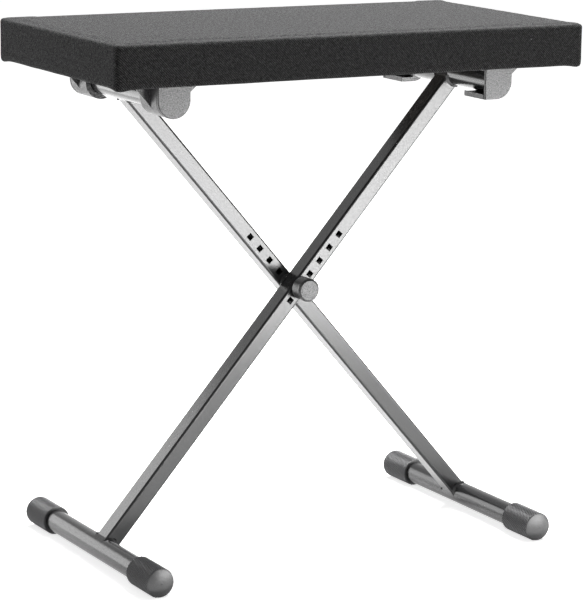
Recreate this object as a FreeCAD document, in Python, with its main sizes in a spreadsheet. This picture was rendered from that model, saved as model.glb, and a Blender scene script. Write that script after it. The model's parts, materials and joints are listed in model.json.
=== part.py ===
import FreeCAD, Part
import math
import os
import Sketcher

# Folding keyboard bench: crossed steel legs, an upholstered seat and a clamped pivot.
# X runs along the seat, Y to the rear, Z up; the origin is on the floor under the middle.

os.makedirs("parts", exist_ok=True)
doc = FreeCAD.newDocument("folding_bench")

# Driving sizes in millimetres and degrees
SIZES = {
    "leg_angle": 49, "leg_gap": 3, "leg_depth": 19, "leg_width": 24, "leg_wall": 1.5,
    "leg_corner": 2.6, "pivot_to_foot": 363.5, "pivot_to_crossbar": 304.5,
    "hole_side": 6.8, "hole_pitch": 18.7, "hole_count": 6, "holes_above_pivot": 4,
    "notch_radius": 3.6, "weld_gap": 0.1, "weld_size": 2.4,
    "tube_diameter": 25.4, "tube_wall": 1.5, "foot_bar_length": 317, "crossbar_length": 216,
    "cap_diameter": 32.6, "cap_grip": 50, "cap_end": 4, "cap_edge": 1.4,
    "cap_fit": 0.1, "floor_flat": 0.45,
    "bearing_rise": 20.75, "bearing_radius": 19, "bearing_clearance": 0.3, "bearing_inner": 68,
    "end_play": 0.5, "end_wall": 3, "groove_width": 1, "groove_depth": 0.8, "wall_chamfer": 0.7,
    "plate_thickness": 4, "plate_outboard": 39.2, "plate_inboard": 29.8, "rib_thickness": 3,
    "rib_place": 90, "rib_foot": 29, "web_low": 8, "web_run": 9, "lip_angle": 70,
    "hook_radius": 18.7, "hook_reach": 15.8, "nose_width": 3, "nose_height": 0.6,
    "screw_place": 29, "screw_inner": 79, "screw_outer": 101, "screw_diameter": 4,
    "screw_head": 8, "screw_head_height": 2.4, "screw_length": 13, "screw_clearance": 0.2,
    "seat_length": 566, "seat_width": 300, "seat_thickness": 46, "seat_crown": 2.5,
    "seat_bulge": 1.6, "seat_corner": 12, "seat_top_edge": 8, "seat_low_edge": 3.5,
    "crown_reach": 130, "cover_thickness": 1.2, "cover_hem": 25, "soft_gap": 0.15,
    "board_thickness": 12,
    "bolt_diameter": 6, "bolt_head": 16, "bolt_head_height": 3.5, "bolt_neck": 3.2,
    "bolt_end": 43.5, "neck_clearance": 0.15, "bolt_tip": 0.6,
    "spacer_diameter": 22, "bore_clearance": 0.2,
    "washer_diameter": 16, "washer_thickness": 1.2,
    "hub_diameter": 12, "hub_length": 14, "hub_collar": 15, "collar_thickness": 1.5,
    "thread_clearance": 0.05, "insert_fit": 0.1,
    "knob_diameter": 26, "knob_rim": 4.3, "knob_depth": 16.5, "knob_bevel": 2,
    "knob_blind": 2.2,
}

sheet = doc.addObject("Spreadsheet::Sheet", "sizes")
for row, (alias, number) in enumerate(SIZES.items(), start=1):
    sheet.set("A%d" % row, alias)
    sheet.set("B%d" % row, str(number))
    sheet.setAlias("B%d" % row, alias)
doc.recompute()


class Size:
    """A length with the cell formula that gives it, so that a sketch can be bound to both."""

    def __init__(self, value, formula):
        self.value, self.formula = float(value), formula

    def __neg__(self):
        return Size(-self.value, "-(%s)" % self.formula)

    def __add__(self, other):
        other = size(other)
        return Size(self.value + other.value, "(%s + %s)" % (self.formula, other.formula))

    def __sub__(self, other):
        other = size(other)
        return Size(self.value - other.value, "(%s - %s)" % (self.formula, other.formula))

    def __mul__(self, other):
        other = size(other)
        return Size(self.value * other.value, "%s * %s" % (self.formula, other.formula))

    def __truediv__(self, other):
        other = size(other)
        return Size(self.value / other.value, "%s / (%s)" % (self.formula, other.formula))

    def __radd__(self, other):
        return size(other) + self

    def __rsub__(self, other):
        return size(other) - self

    def __rmul__(self, other):
        return size(other) * self


def size(item):
    """The named cell, the plain number or the size itself as a Size."""
    if isinstance(item, Size):
        return item
    if isinstance(item, str):
        return Size(sheet.get(item), "sizes." + item)
    return Size(item, "(%s)" % repr(item))


def sine(angle):
    return Size(math.sin(math.radians(angle.value)), "sin(%s)" % angle.formula)


def cosine(angle):
    return Size(math.cos(math.radians(angle.value)), "cos(%s)" % angle.formula)


def root(number):
    return Size(math.sqrt(number.value), "sqrt(%s)" % number.formula)


def body_at(label, x=0, y=0, z=0, turn=None):
    """A new body; turn leans its X axis up from the horizontal by that angle."""
    body = doc.addObject("PartDesign::Body", label)
    body.Label = label
    if turn is not None:
        body.Placement = FreeCAD.Placement(
            FreeCAD.Vector(), FreeCAD.Rotation(FreeCAD.Vector(0, -1, 0), turn.value))
        body.setExpression("Placement.Rotation.Angle", turn.formula + " * 1 deg")
    for axis, place in (("x", x), ("y", y), ("z", z)):
        if isinstance(place, Size):
            body.setExpression("Placement.Base." + axis, place.formula)
    return body


def sketch_on(body, role, name, offset=None):
    """A sketch on one of the body's own planes, moved along the plane's normal."""
    sketch = body.newObject("Sketcher::SketchObject", name)
    plane = next(item for item in body.Origin.OriginFeatures if item.Role == role)
    sketch.AttachmentSupport = (plane, [""])
    sketch.MapMode = "FlatFace"
    if offset is not None:
        sketch.AttachmentOffset = FreeCAD.Placement(
            FreeCAD.Vector(0, 0, offset.value), FreeCAD.Rotation())
        sketch.setExpression("AttachmentOffset.Base.z", offset.formula)
    return sketch


def fix_point(sketch, geometry, end, x, y):
    """Hold one point of a sketch at bound distances from its origin."""
    for kind, axis, place in (("DistanceX", -2, size(x)), ("DistanceY", -1, size(y))):
        if place.value == 0 and place.formula == "(0)":
            sketch.addConstraint(Sketcher.Constraint("PointOnObject", geometry, end, axis))
            continue
        index = sketch.addConstraint(
            Sketcher.Constraint(kind, -1, 1, geometry, end, place.value))
        sketch.setExpression("Constraints[%d]" % index, place.formula)


def fix_radius(sketch, geometry, radius):
    index = sketch.addConstraint(Sketcher.Constraint("Radius", geometry, radius.value))
    sketch.setExpression("Constraints[%d]" % index, radius.formula)


def circle(sketch, x, y, radius):
    centre = FreeCAD.Vector(size(x).value, size(y).value, 0)
    index = sketch.addGeometry(
        Part.Circle(centre, FreeCAD.Vector(0, 0, 1), radius.value), False)
    fix_point(sketch, index, 3, x, y)
    fix_radius(sketch, index, radius)


def outline(sketch, corners):
    """A closed loop; a third entry bends the edge that starts at that corner.

    A positive radius turns left along the loop and a negative one turns right.
    """
    count = len(corners)
    spots = [FreeCAD.Vector(size(c[0]).value, size(c[1]).value, 0) for c in corners]
    ends = []
    for i, corner in enumerate(corners):
        start, stop = spots[i], spots[(i + 1) % count]
        if len(corner) == 2:
            index = sketch.addGeometry(Part.LineSegment(start, stop), False)
            ends.append((index, 1, 2))
            continue
        radius, left = (corner[2], True) if corner[2].value > 0 else (-corner[2], False)
        if not left:
            start, stop = stop, start
        half = (stop - start) * 0.5
        rise = math.sqrt(max(radius.value ** 2 - half.Length ** 2, 0))
        side = FreeCAD.Vector(-half.y, half.x, 0).normalize()
        centre = start + half + side * rise
        angles = [math.atan2(p.y - centre.y, p.x - centre.x) for p in (start, stop)]
        if angles[1] < angles[0]:
            angles[1] += 2 * math.pi
        arc = Part.ArcOfCircle(
            Part.Circle(centre, FreeCAD.Vector(0, 0, 1), radius.value), *angles)
        index = sketch.addGeometry(arc, False)
        ends.append((index, 1, 2) if left else (index, 2, 1))
        fix_radius(sketch, index, radius)
    for i, (index, first, last) in enumerate(ends):
        following = ends[(i + 1) % count]
        sketch.addConstraint(
            Sketcher.Constraint("Coincident", index, last, following[0], following[1]))
        fix_point(sketch, index, first, corners[i][0], corners[i][1])


def rounded(sketch, left, right, low, high, radius):
    """A rectangle with rounded corners, counter-clockwise from its lower left."""
    outline(sketch, [
        (left + radius, low), (right - radius, low, radius),
        (right, low + radius), (right, high - radius, radius),
        (right - radius, high), (left + radius, high, radius),
        (left, high - radius), (left, low + radius, radius)])


def box_outline(sketch, left, right, low, high):
    outline(sketch, [(left, low), (right, low), (right, high), (left, high)])


def feature(body, kind, name, sketch, length=None, both=False, back=None, flip=False):
    """A pad, pocket or similar feature on a sketch, with bound lengths."""
    item = body.newObject("PartDesign::" + kind, name)
    item.Profile = sketch
    if both:
        item.SideType = "Symmetric"
    if flip:
        item.Reversed = True
    if length is None:
        item.Type = "ThroughAll"
    else:
        item.setExpression("Length", length.formula)
    if back is not None:
        item.SideType = "Two sides"
        item.setExpression("Length2", back.formula)
    sketch.Visibility = False
    return item


def slab(body, name, corners, near, far):
    """A flat-sided piece of an XZ outline between two distances in front of the middle."""
    sketch = sketch_on(body, "XZ_Plane", name + "_outline", near)
    outline(sketch, corners)
    return feature(body, "Pad", name, sketch, far - near)


def turned(body, name, corners):
    """A full revolution about the body's Y axis of a profile in its XY plane."""
    sketch = sketch_on(body, "XY_Plane", name + "_profile")
    outline(sketch, corners)
    item = body.newObject("PartDesign::Revolution", name)
    item.Profile = sketch
    item.ReferenceAxis = (sketch, ["V_Axis"])
    item.Angle = 360
    sketch.Visibility = False
    return item


# Places that several pieces share
tube_radius = size("tube_diameter") / 2
cap_radius = size("cap_diameter") / 2
foot_height = cap_radius - "floor_flat"
foot_reach = "pivot_to_foot" * cosine(size("leg_angle"))
pivot_height = foot_height + "pivot_to_foot" * sine(size("leg_angle"))
crossbar_reach = "pivot_to_crossbar" * cosine(size("leg_angle"))
crossbar_height = pivot_height + "pivot_to_crossbar" * sine(size("leg_angle"))
leg_near = size("leg_gap") / 2
leg_far = leg_near + "leg_width"
bearing_end = size("crossbar_length") / 2 + "end_play" + "end_wall"
board_under = crossbar_height + "bearing_rise"
seat_under = board_under - "cover_thickness"


def leg(label, side):
    """A leg tube that lies in its own frame along X, with the pivot at the origin."""
    turn = size("leg_angle") if side < 0 else 180 - size("leg_angle")
    body = body_at(label, z=pivot_height, turn=turn)
    low, high = (-leg_far, -leg_near) if side < 0 else (leg_near, leg_far)
    half, wall = size("leg_depth") / 2, size("leg_wall")
    section = sketch_on(body, "YZ_Plane", label + "_section")
    rounded(section, low, high, -half, half, size("leg_corner"))
    rounded(section, low + wall, high - wall, wall - half, half - wall,
            size("leg_corner") - wall)
    feature(body, "Pad", label + "_tube", section,
            size("pivot_to_crossbar"), back=size("pivot_to_foot"))
    # Ends coped to the round bars
    cope = sketch_on(body, "XZ_Plane", label + "_cope")
    circle(cope, size("pivot_to_crossbar"), 0, tube_radius + "weld_gap")
    circle(cope, -size("pivot_to_foot"), 0, tube_radius + "weld_gap")
    feature(body, "Pocket", label + "_coped_ends", cope, both=True)
    vent = sketch_on(body, "XZ_Plane", label + "_vent_outline")
    circle(vent, tube_radius - "pivot_to_foot", 0, size("notch_radius"))
    feature(body, "Pocket", label + "_vent", vent, both=True)
    # Row of square height holes
    hole = sketch_on(body, "XZ_Plane", label + "_hole_outline")
    top = size("holes_above_pivot") * "hole_pitch"
    square = size("hole_side") / 2
    box_outline(hole, top - square, top + square, -square, square)
    cut = feature(body, "Pocket", label + "_hole", hole, both=True)
    doc.recompute()
    row = body.newObject("PartDesign::LinearPattern", label + "_holes")
    row.Originals = [cut]
    row.Direction = (hole, ["H_Axis"])
    row.Reversed = True
    row.setExpression("Length", ((size("hole_count") - 1) * "hole_pitch").formula)
    row.setExpression("Occurrences", "sizes.hole_count")
    body.Tip = row
    return body


def bar(label, side, reach, height, length):
    """A round tube across the bench at one end of a leg."""
    body = body_at(label, x=side * reach, z=height)
    section = sketch_on(body, "XZ_Plane", label + "_section")
    circle(section, 0, 0, tube_radius)
    circle(section, 0, 0, tube_radius - "tube_wall")
    feature(body, "Pad", label + "_tube", section, length, both=True)
    return body


def mirrored(label, source):
    """The matching piece on the other side of the middle plane."""
    item = doc.addObject("Part::Mirroring", label)
    item.Label = label
    item.Source = source
    item.Normal = FreeCAD.Vector(0, 1, 0)
    return item


def foot_cap(label, side):
    """A grip cap over the front end of a foot bar, bevelled outside and flat on the floor."""
    body = body_at(label, x=side * foot_reach, y=-size("foot_bar_length") / 2, z=foot_height)
    edge = size("cap_edge")
    disc = cap_radius - edge
    bore = tube_radius + "cap_fit"
    turned(body, label + "_shell", [
        (0, -size("cap_end")), (disc, -size("cap_end")),
        (cap_radius, edge - "cap_end"), (cap_radius, "cap_grip"),
        (bore, "cap_grip"), (bore, 0), (0, 0)])
    flat = sketch_on(body, "XZ_Plane", label + "_floor")
    box_outline(flat, -cap_radius, cap_radius, -cap_radius - 1, -foot_height)
    feature(body, "Pocket", label + "_flat", flat, both=True)
    return body


def weld_beads(label, side):
    """Fillet beads round both coped ends of one leg, in the leg's own frame."""
    turn = size("leg_angle") if side < 0 else 180 - size("leg_angle")
    half = size("leg_depth") / 2
    bead = size("weld_size")
    inner = tube_radius + size("weld_gap") / 2
    seam = root(inner * inner - half * half)
    low, high = (-leg_far, -leg_near) if side < 0 else (leg_near, leg_far)
    beads = []
    for end, place in (("foot", -size("pivot_to_foot")), ("top", size("pivot_to_crossbar"))):
        toward = 1 if end == "foot" else -1
        # Long beads on the narrow faces
        body = body_at("%s_%s_side_beads" % (label, end), z=pivot_height, turn=turn)
        for up in (1, -1):
            far = inner + bead * 0.6
            wrap = Size(64, "(64)")
            section = sketch_on(body, "XZ_Plane", "%s_%s_%s_section" % (
                label, end, "upper" if up > 0 else "lower"), -high)
            swing = toward * up
            outline(section, [
                (place + toward * seam, up * half),
                (place + toward * (seam + bead), up * half),
                (place + toward * inner * cosine(wrap), up * inner * sine(wrap),
                 -swing * inner)])
            feature(body, "Pad", section.Name + "_bead", section, high - low)
        beads.append(body)
        # Curved beads on the broad faces
        for face, outward in ((low, -1), (high, 1)):
            name = "%s_%s_%s_bead" % (label, end, "front" if outward < 0 else "back")
            ring = doc.addObject("PartDesign::Body", name)
            ring.Placement = FreeCAD.Placement(
                FreeCAD.Vector(), FreeCAD.Rotation(FreeCAD.Vector(0, -1, 0), turn.value))
            ring.setExpression("Placement.Rotation.Angle", turn.formula + " * 1 deg")
            ring.setExpression("Placement.Base.x", (place * cosine(turn)).formula)
            ring.setExpression("Placement.Base.z",
                               (pivot_height + place * sine(turn)).formula)
            section = sketch_on(ring, "XY_Plane", name + "_section")
            outline(section, [
                (toward * inner, face), (toward * (inner + bead), face),
                (toward * inner, face + outward * bead)])
            item = ring.newObject("PartDesign::Revolution", name + "_turn")
            item.Profile = section
            item.ReferenceAxis = (section, ["V_Axis"])
            item.Midplane = True
            item.Angle = 92
            section.Visibility = False
            beads.append(ring)
    group = doc.addObject("Part::Compound", label)
    group.Label = label
    group.Links = beads
    return group


# Crossed legs
front_leg = leg("front_leg", -1)
rear_leg = leg("rear_leg", 1)

# Floor bars and the bars under the seat
foot_bar_length = size("foot_bar_length")
crossbar_length = size("crossbar_length")
left_foot_bar = bar("left_foot_bar", -1, foot_reach, foot_height, foot_bar_length)
right_foot_bar = bar("right_foot_bar", 1, foot_reach, foot_height, foot_bar_length)
left_crossbar = bar("left_crossbar", -1, crossbar_reach, crossbar_height, crossbar_length)
right_crossbar = bar("right_crossbar", 1, crossbar_reach, crossbar_height, crossbar_length)

# Grip caps
left_front_foot_cap = foot_cap("left_front_foot_cap", -1)
right_front_foot_cap = foot_cap("right_front_foot_cap", 1)
left_rear_foot_cap = mirrored("left_rear_foot_cap", left_front_foot_cap)
right_rear_foot_cap = mirrored("right_rear_foot_cap", right_front_foot_cap)

# Welds
front_leg_weld_beads = weld_beads("front_leg_weld_beads", -1)
rear_leg_weld_beads = weld_beads("rear_leg_weld_beads", 1)

# Pivot bolt with a square neck in the rear leg and its domed head behind
pivot_bolt = body_at("pivot_bolt", z=pivot_height, turn=180 - size("leg_angle"))
shank = size("bolt_diameter") / 2
head = size("bolt_head") / 2
head_height = size("bolt_head_height")
turned(pivot_bolt, "bolt_shape", [
    (0, -size("bolt_end")), (shank - "bolt_tip", -size("bolt_end")),
    (shank, "bolt_tip" - size("bolt_end")), (shank, leg_far), (head, leg_far),
    (head * 0.6, leg_far + head_height), (0, leg_far + head_height)])
neck = sketch_on(pivot_bolt, "XZ_Plane", "neck_section", -leg_far)
neck_half = size("hole_side") / 2 - "neck_clearance"
box_outline(neck, -neck_half, neck_half, -neck_half, neck_half)
feature(pivot_bolt, "Pad", "square_neck", neck, size("bolt_neck"))

# Slip disc between the legs
leg_spacer = body_at("leg_spacer", z=pivot_height)
disc_sketch = sketch_on(leg_spacer, "XZ_Plane", "spacer_section")
circle(disc_sketch, 0, 0, size("spacer_diameter") / 2)
circle(disc_sketch, 0, 0, shank + "bore_clearance")
feature(leg_spacer, "Pad", "spacer_disc", disc_sketch, size("leg_gap"), both=True)

# Washer in front of the front leg
clamp_washer = body_at("clamp_washer", z=pivot_height)
washer_sketch = sketch_on(clamp_washer, "XZ_Plane", "washer_section", leg_far)
circle(washer_sketch, 0, 0, size("washer_diameter") / 2)
circle(washer_sketch, 0, 0, shank + "bore_clearance")
feature(clamp_washer, "Pad", "washer_disc", washer_sketch, size("washer_thickness"))

# Threaded insert of the knob
insert_back = leg_far + "washer_thickness"
insert_front = insert_back + "hub_length"
hub = size("hub_diameter") / 2
collar = size("hub_collar") / 2
thread = shank + "thread_clearance"
collar_front = insert_back + "collar_thickness"
knob_insert = body_at("knob_insert", z=pivot_height)
turned(knob_insert, "insert_shape", [
    (thread, -insert_front), (hub, -insert_front), (hub, -collar_front),
    (collar, -collar_front), (collar, -insert_back), (thread, -insert_back)])

# Round knob moulded over the insert
knob_back = insert_back + "knob_rim"
knob_front = knob_back + "knob_depth"
grip = size("knob_diameter") / 2
curve = size("knob_bevel")
pocket_radius = hub + "insert_fit"
blind = size("bolt_end") + "knob_blind"
clamp_knob = body_at("clamp_knob", z=pivot_height)
turned(clamp_knob, "knob_shape", [
    (0, -knob_front), (grip - curve, -knob_front), (grip, curve - knob_front),
    (grip, -knob_back), (pocket_radius, -knob_back),
    (pocket_radius, -insert_front), (thread + "insert_fit", -insert_front),
    (thread + "insert_fit", -blind), (0, -blind)])


def chamfer_end(body, name, place):
    """Break the outer edges of the bracket's end wall."""
    doc.recompute()
    base = body.Tip
    faces = [
        "Face%d" % (i + 1) for i, face in enumerate(base.Shape.Faces)
        if abs(face.BoundBox.YMin + place.value) < 0.001
        and abs(face.BoundBox.YMax + place.value) < 0.001]
    item = body.newObject("PartDesign::Chamfer", name)
    item.Base = (base, faces)
    item.setExpression("Size", "sizes.wall_chamfer")
    return item


def bracket(label, side, ring, wall, web):
    """A moulded bracket under the seat: ring or hook, end wall, plate, rib and web."""
    body = body_at(label, x=side * crossbar_reach, z=crossbar_height)
    plate_low = size("bearing_rise") - "plate_thickness"
    wall_back = bearing_end - "end_wall"
    neck_back = wall_back - "groove_width"
    slab(body, label + "_end_wall", wall, wall_back, bearing_end)
    chamfer_end(body, label + "_chamfer", bearing_end)
    slab(body, label + "_neck", ring(size("groove_depth")), neck_back, wall_back)
    slab(body, label + "_saddle", ring(size(0)), size("bearing_inner"), neck_back)
    plate = sorted([side * size("plate_outboard"), -side * size("plate_inboard")],
                   key=lambda item: item.value)
    slab(body, label + "_plate", [
        (plate[0], plate_low), (plate[1], plate_low), (plate[1], "bearing_rise"),
        (plate[0], "bearing_rise")], size("bearing_inner"), bearing_end)
    # Gusset between the ring and the outer end of the plate
    outer = size("bearing_radius" if side < 0 else "hook_radius")
    rib = size("rib_foot")
    slab(body, label + "_rib", [
        (side * (size("plate_outboard") - 0.7), plate_low),
        (side * outer * cosine(rib), -outer * sine(rib)),
        (side * (outer - 3), plate_low)],
        "rib_place" - size("rib_thickness") / 2, "rib_place" + size("rib_thickness") / 2)
    slab(body, label + "_web", web, wall_back, bearing_end)
    # Screw holes in the plate
    holes = sketch_on(body, "XY_Plane", label + "_screw_holes")
    for place in ("screw_inner", "screw_outer"):
        circle(holes, side * size("screw_place"), -size(place),
               size("screw_diameter") / 2 + "screw_clearance")
    feature(body, "Pocket", label + "_drilled", holes, size("bearing_rise") + 1, flip=True)
    return body


plate_low = size("bearing_rise") - "plate_thickness"
bore = tube_radius + "bearing_clearance"


def bearing_ring(inset):
    """Open ring of the left bearings, with its pointed lip below the middle."""
    outer = size("bearing_radius") - inset
    lip = size("lip_angle")
    return [
        (-outer, plate_low), (-outer, 0, outer), (0, -outer, outer),
        (outer * cosine(lip), -outer * sine(lip)), (0, -bore, -bore), (-bore, 0, -bore),
        (0, bore), (outer - 3, bore), (outer - 3, plate_low)]


def hook_ring(inset):
    """Open hook of the right brackets, with a low nose on its floor."""
    outer = size("hook_radius") - inset
    reach = size("hook_reach") - inset
    nose = size("nose_width")
    floor = -bore - "nose_height"
    return [
        (outer, plate_low), (-reach, plate_low), (-reach, bore), (0, bore, -bore),
        (bore, 0, -bore), (0, -bore), (-nose, floor), (nose - reach, floor),
        (1 - reach, -bore), (-reach, -bore), (-reach, -outer), (0, -outer, outer),
        (outer, 0)]


edge = size("bearing_radius")
bearing_wall = [
    (-edge, plate_low), (-edge, 0, edge), (0, -edge, edge), (edge, 0), (edge, plate_low)]
bearing_web = [
    (edge - 1, plate_low), (edge - 1, "web_low"), (edge + "web_run", plate_low)]
hook_edge = size("hook_radius")
hook_wall = [
    (-size("hook_reach"), plate_low), (-size("hook_reach"), -hook_edge),
    (0, -hook_edge, hook_edge), (hook_edge, 0), (hook_edge, plate_low)]
hook_web = [
    (hook_edge - 1, plate_low), (hook_edge - 1, "web_low"), (hook_edge + "web_run", plate_low)]

# Bearings that the seat turns on, and hooks that drop over the other bar
left_front_bearing = bracket("left_front_bearing", -1, bearing_ring, bearing_wall, bearing_web)
right_front_hook = bracket("right_front_hook", 1, hook_ring, hook_wall, hook_web)
left_rear_bearing = mirrored("left_rear_bearing", left_front_bearing)
right_rear_hook = mirrored("right_rear_hook", right_front_hook)


def screw(label, side, place):
    """A pan-head screw up through a bracket plate into the board."""
    body = body_at(label, x=side * (crossbar_reach + "screw_place"), y=-size(place),
                   z=board_under - "plate_thickness")
    sketch = sketch_on(body, "XZ_Plane", label + "_profile")
    head = size("screw_head") / 2
    outline(sketch, [
        (0, -size("screw_head_height")), (head, -size("screw_head_height")), (head, 0),
        (size("screw_diameter") / 2, 0), (size("screw_diameter") / 2, "screw_length"),
        (0, "screw_length")])
    item = body.newObject("PartDesign::Revolution", label + "_turn")
    item.Profile = sketch
    item.ReferenceAxis = (sketch, ["V_Axis"])
    item.Angle = 360
    sketch.Visibility = False
    return body


screws = []
for side in (-1, 1):
    for place in ("screw_inner", "screw_outer"):
        name = "%s_%s" % ("left" if side < 0 else "right", place)
        front = screw(name, side, place)
        screws += [front, mirrored(name + "_rear", front)]
bracket_screws = doc.addObject("Part::Compound", "bracket_screws")
bracket_screws.Label = "bracket_screws"
bracket_screws.Links = screws


def cushion_levels(shrink):
    """Heights and insets of the cushion's outline, from underside to crown.

    The forms inside the cover end flat below the crown, which is the cover's own wadding.
    """
    bulge, low, top = size("seat_bulge"), size("seat_low_edge"), size("seat_top_edge")
    crown, reach = size("seat_crown"), size("crown_reach")
    full = size("seat_thickness") - shrink
    shoulder = full - crown
    plain = size("seat_corner")
    levels = [
        (shrink, bulge + low), (shrink + low, bulge),
        (size("seat_thickness") * 0.56, bulge * 0), (shoulder - top * 0.7, bulge * 0.4),
        (shoulder - top * 0.2, bulge * 0.5 + top * 0.35),
        (shoulder + crown * 0.1, bulge * 0.5 + top * 1.1), (full, reach)]
    rounds = [plain - inset for height, inset in levels[:5]] + [plain] * 2
    rows = [(height, inset + shrink, corner - shrink)
            for (height, inset), corner in zip(levels, rounds)]
    return rows[:3] + rows[4:5] if shrink.value else rows


def cushion_loft(body, name, kind, shrink):
    """The padded seat's closed form, drawn in all round by shrink."""
    sections = []
    for i, (height, inset, corner) in enumerate(cushion_levels(shrink)):
        level = sketch_on(body, "XY_Plane", "%s_level_%d" % (name, i), height)
        along = size("seat_length") / 2 - inset
        across = size("seat_width") / 2 - inset
        rounded(level, -along, along, -across, across, corner)
        level.Visibility = False
        sections.append(level)
    item = body.newObject("PartDesign::" + kind, name)
    item.Profile = sections[0]
    item.Sections = sections[1:]
    item.Ruled = True
    return item


seat_half = size("seat_length") / 2 + 5
seat_side = size("seat_width") / 2 + 5
lining = size("cover_thickness") + "soft_gap"
board_top = size("cover_thickness") + "board_thickness"

# Seat board, from the lower part of the lining's form
seat_board = body_at("seat_board", z=seat_under)
cushion_loft(seat_board, "board_form", "AdditiveLoft", lining)
above = sketch_on(seat_board, "XY_Plane", "board_top_outline", board_top)
box_outline(above, -seat_half, seat_half, -seat_side, seat_side)
feature(seat_board, "Pocket", "board_top_cut", above, size("seat_thickness"), flip=True)
under = sketch_on(seat_board, "XY_Plane", "board_under_outline")
pilot = size("screw_diameter") / 2 + "thread_clearance"
for side in (-1, 1):
    for place in ("screw_inner", "screw_outer"):
        for across in (-1, 1):
            circle(under, side * (crossbar_reach + "screw_place"), across * size(place), pilot)
feature(seat_board, "Pocket", "pilot_holes", under,
        "screw_length" - size("plate_thickness") + "cover_thickness" + 0.5, flip=True)

# Foam block above the board
seat_foam = body_at("seat_foam", z=seat_under)
cushion_loft(seat_foam, "foam_form", "AdditiveLoft", lining)
below = sketch_on(seat_foam, "XY_Plane", "foam_under_outline", board_top)
box_outline(below, -seat_half, seat_half, -seat_side, seat_side)
feature(seat_foam, "Pocket", "foam_under_cut", below, size("seat_thickness"))

# Cover pulled over the foam and turned under the board
seat_cover = body_at("seat_cover", z=seat_under)
cushion_loft(seat_cover, "cover_form", "AdditiveLoft", size(0))
cushion_loft(seat_cover, "cover_inside", "SubtractiveLoft", size("cover_thickness"))
window = sketch_on(seat_cover, "XY_Plane", "cover_window_outline")
open_half = size("seat_length") / 2 - "cover_hem"
open_side = size("seat_width") / 2 - "cover_hem"
box_outline(window, -open_half, open_half, -open_side, open_side)
feature(seat_cover, "Pocket", "cover_window", window, size("cover_thickness") + 1, flip=True)

doc.recompute()

# Checks before anything is written
for item in doc.Objects:
    if {"Invalid", "Error"} & set(item.State):
        raise RuntimeError("%s failed: %s" % (item.Label, item.State))
    if item.TypeId in ("PartDesign::Pocket", "PartDesign::SubtractiveLoft"):
        if item.Shape.Volume >= item.BaseFeature.Shape.Volume - 0.1:
            raise RuntimeError("%s cuts nothing" % item.Label)

parts = [
    front_leg, left_foot_bar, left_front_foot_cap, left_rear_foot_cap, right_crossbar,
    front_leg_weld_beads, rear_leg, right_foot_bar, right_front_foot_cap,
    right_rear_foot_cap, left_crossbar, rear_leg_weld_beads, pivot_bolt, leg_spacer,
    seat_board, seat_foam, seat_cover, left_front_bearing, left_rear_bearing,
    right_front_hook, right_rear_hook, bracket_screws, clamp_washer, clamp_knob, knob_insert]
for item in parts:
    if item.Shape.isNull() or not item.Shape.isValid():
        raise RuntimeError("%s has no valid shape" % item.Label)
for item in parts:
    item.Shape.exportStep("parts/%s.step" % item.Label)
    box = item.Shape.BoundBox
    print("%-22s %2d solids %9.0f mm3  x %.1f %.1f  y %.1f %.1f  z %.1f %.1f" % (
        item.Label, len(item.Shape.Solids), item.Shape.Volume,
        box.XMin, box.XMax, box.YMin, box.YMax, box.ZMin, box.ZMax))
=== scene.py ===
# %% [markdown]
# # A folding keyboard bench
#
# The bench is a padded seat on two crossed legs. Its tubes, brackets and bolt come from a
# CAD model, already packed in one shared frame in metres. Here they get their finishes, and
# the pieces that CAD keeps plain, the stretched cover and the knurled grip caps, are built.

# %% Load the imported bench
import json
import math

import bmesh
import bpy
import numpy as np
from mathutils import Matrix, Vector, noise


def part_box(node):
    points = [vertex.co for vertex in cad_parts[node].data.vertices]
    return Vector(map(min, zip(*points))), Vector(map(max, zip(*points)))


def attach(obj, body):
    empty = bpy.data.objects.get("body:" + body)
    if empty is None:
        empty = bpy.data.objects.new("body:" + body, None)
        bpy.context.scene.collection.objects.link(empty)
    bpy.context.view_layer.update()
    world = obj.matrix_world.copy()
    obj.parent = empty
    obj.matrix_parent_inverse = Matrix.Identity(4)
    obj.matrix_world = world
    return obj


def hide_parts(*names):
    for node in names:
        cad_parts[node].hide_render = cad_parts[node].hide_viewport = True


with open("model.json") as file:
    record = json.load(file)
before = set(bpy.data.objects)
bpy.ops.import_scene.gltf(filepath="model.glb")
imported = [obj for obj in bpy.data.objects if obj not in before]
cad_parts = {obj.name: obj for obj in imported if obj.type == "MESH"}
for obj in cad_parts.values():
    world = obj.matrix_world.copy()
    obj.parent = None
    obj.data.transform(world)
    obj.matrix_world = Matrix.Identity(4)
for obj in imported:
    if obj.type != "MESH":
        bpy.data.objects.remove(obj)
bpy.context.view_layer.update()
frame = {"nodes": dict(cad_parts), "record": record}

nodes = frame["nodes"]

# %% [markdown]
# ## The camera
#
# The photograph is taken from the front left, a little above the seat, with a long lens. The
# angles and the lens come from a perspective fit of the seat's and the tubes' edges.

# %% Set up the camera
YAW, PITCH, ROLL = (math.radians(a) for a in (29.175, 11.537, 0.717))
CAMERA_PLACE = Vector((-1.4812, -2.6942, 0.8951))
FOCAL_PIXELS = 2784.5
IMAGE_SIZE = (583, 600)
PRINCIPAL_POINT = (306.7, 303.2)

look = Vector((math.sin(YAW) * math.cos(PITCH), math.cos(YAW) * math.cos(PITCH),
               -math.sin(PITCH)))
level_right = Vector((math.cos(YAW), -math.sin(YAW), 0))
level_up = level_right.cross(look)
right = level_right * math.cos(ROLL) + level_up * math.sin(ROLL)
up = level_up * math.cos(ROLL) - level_right * math.sin(ROLL)

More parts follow.
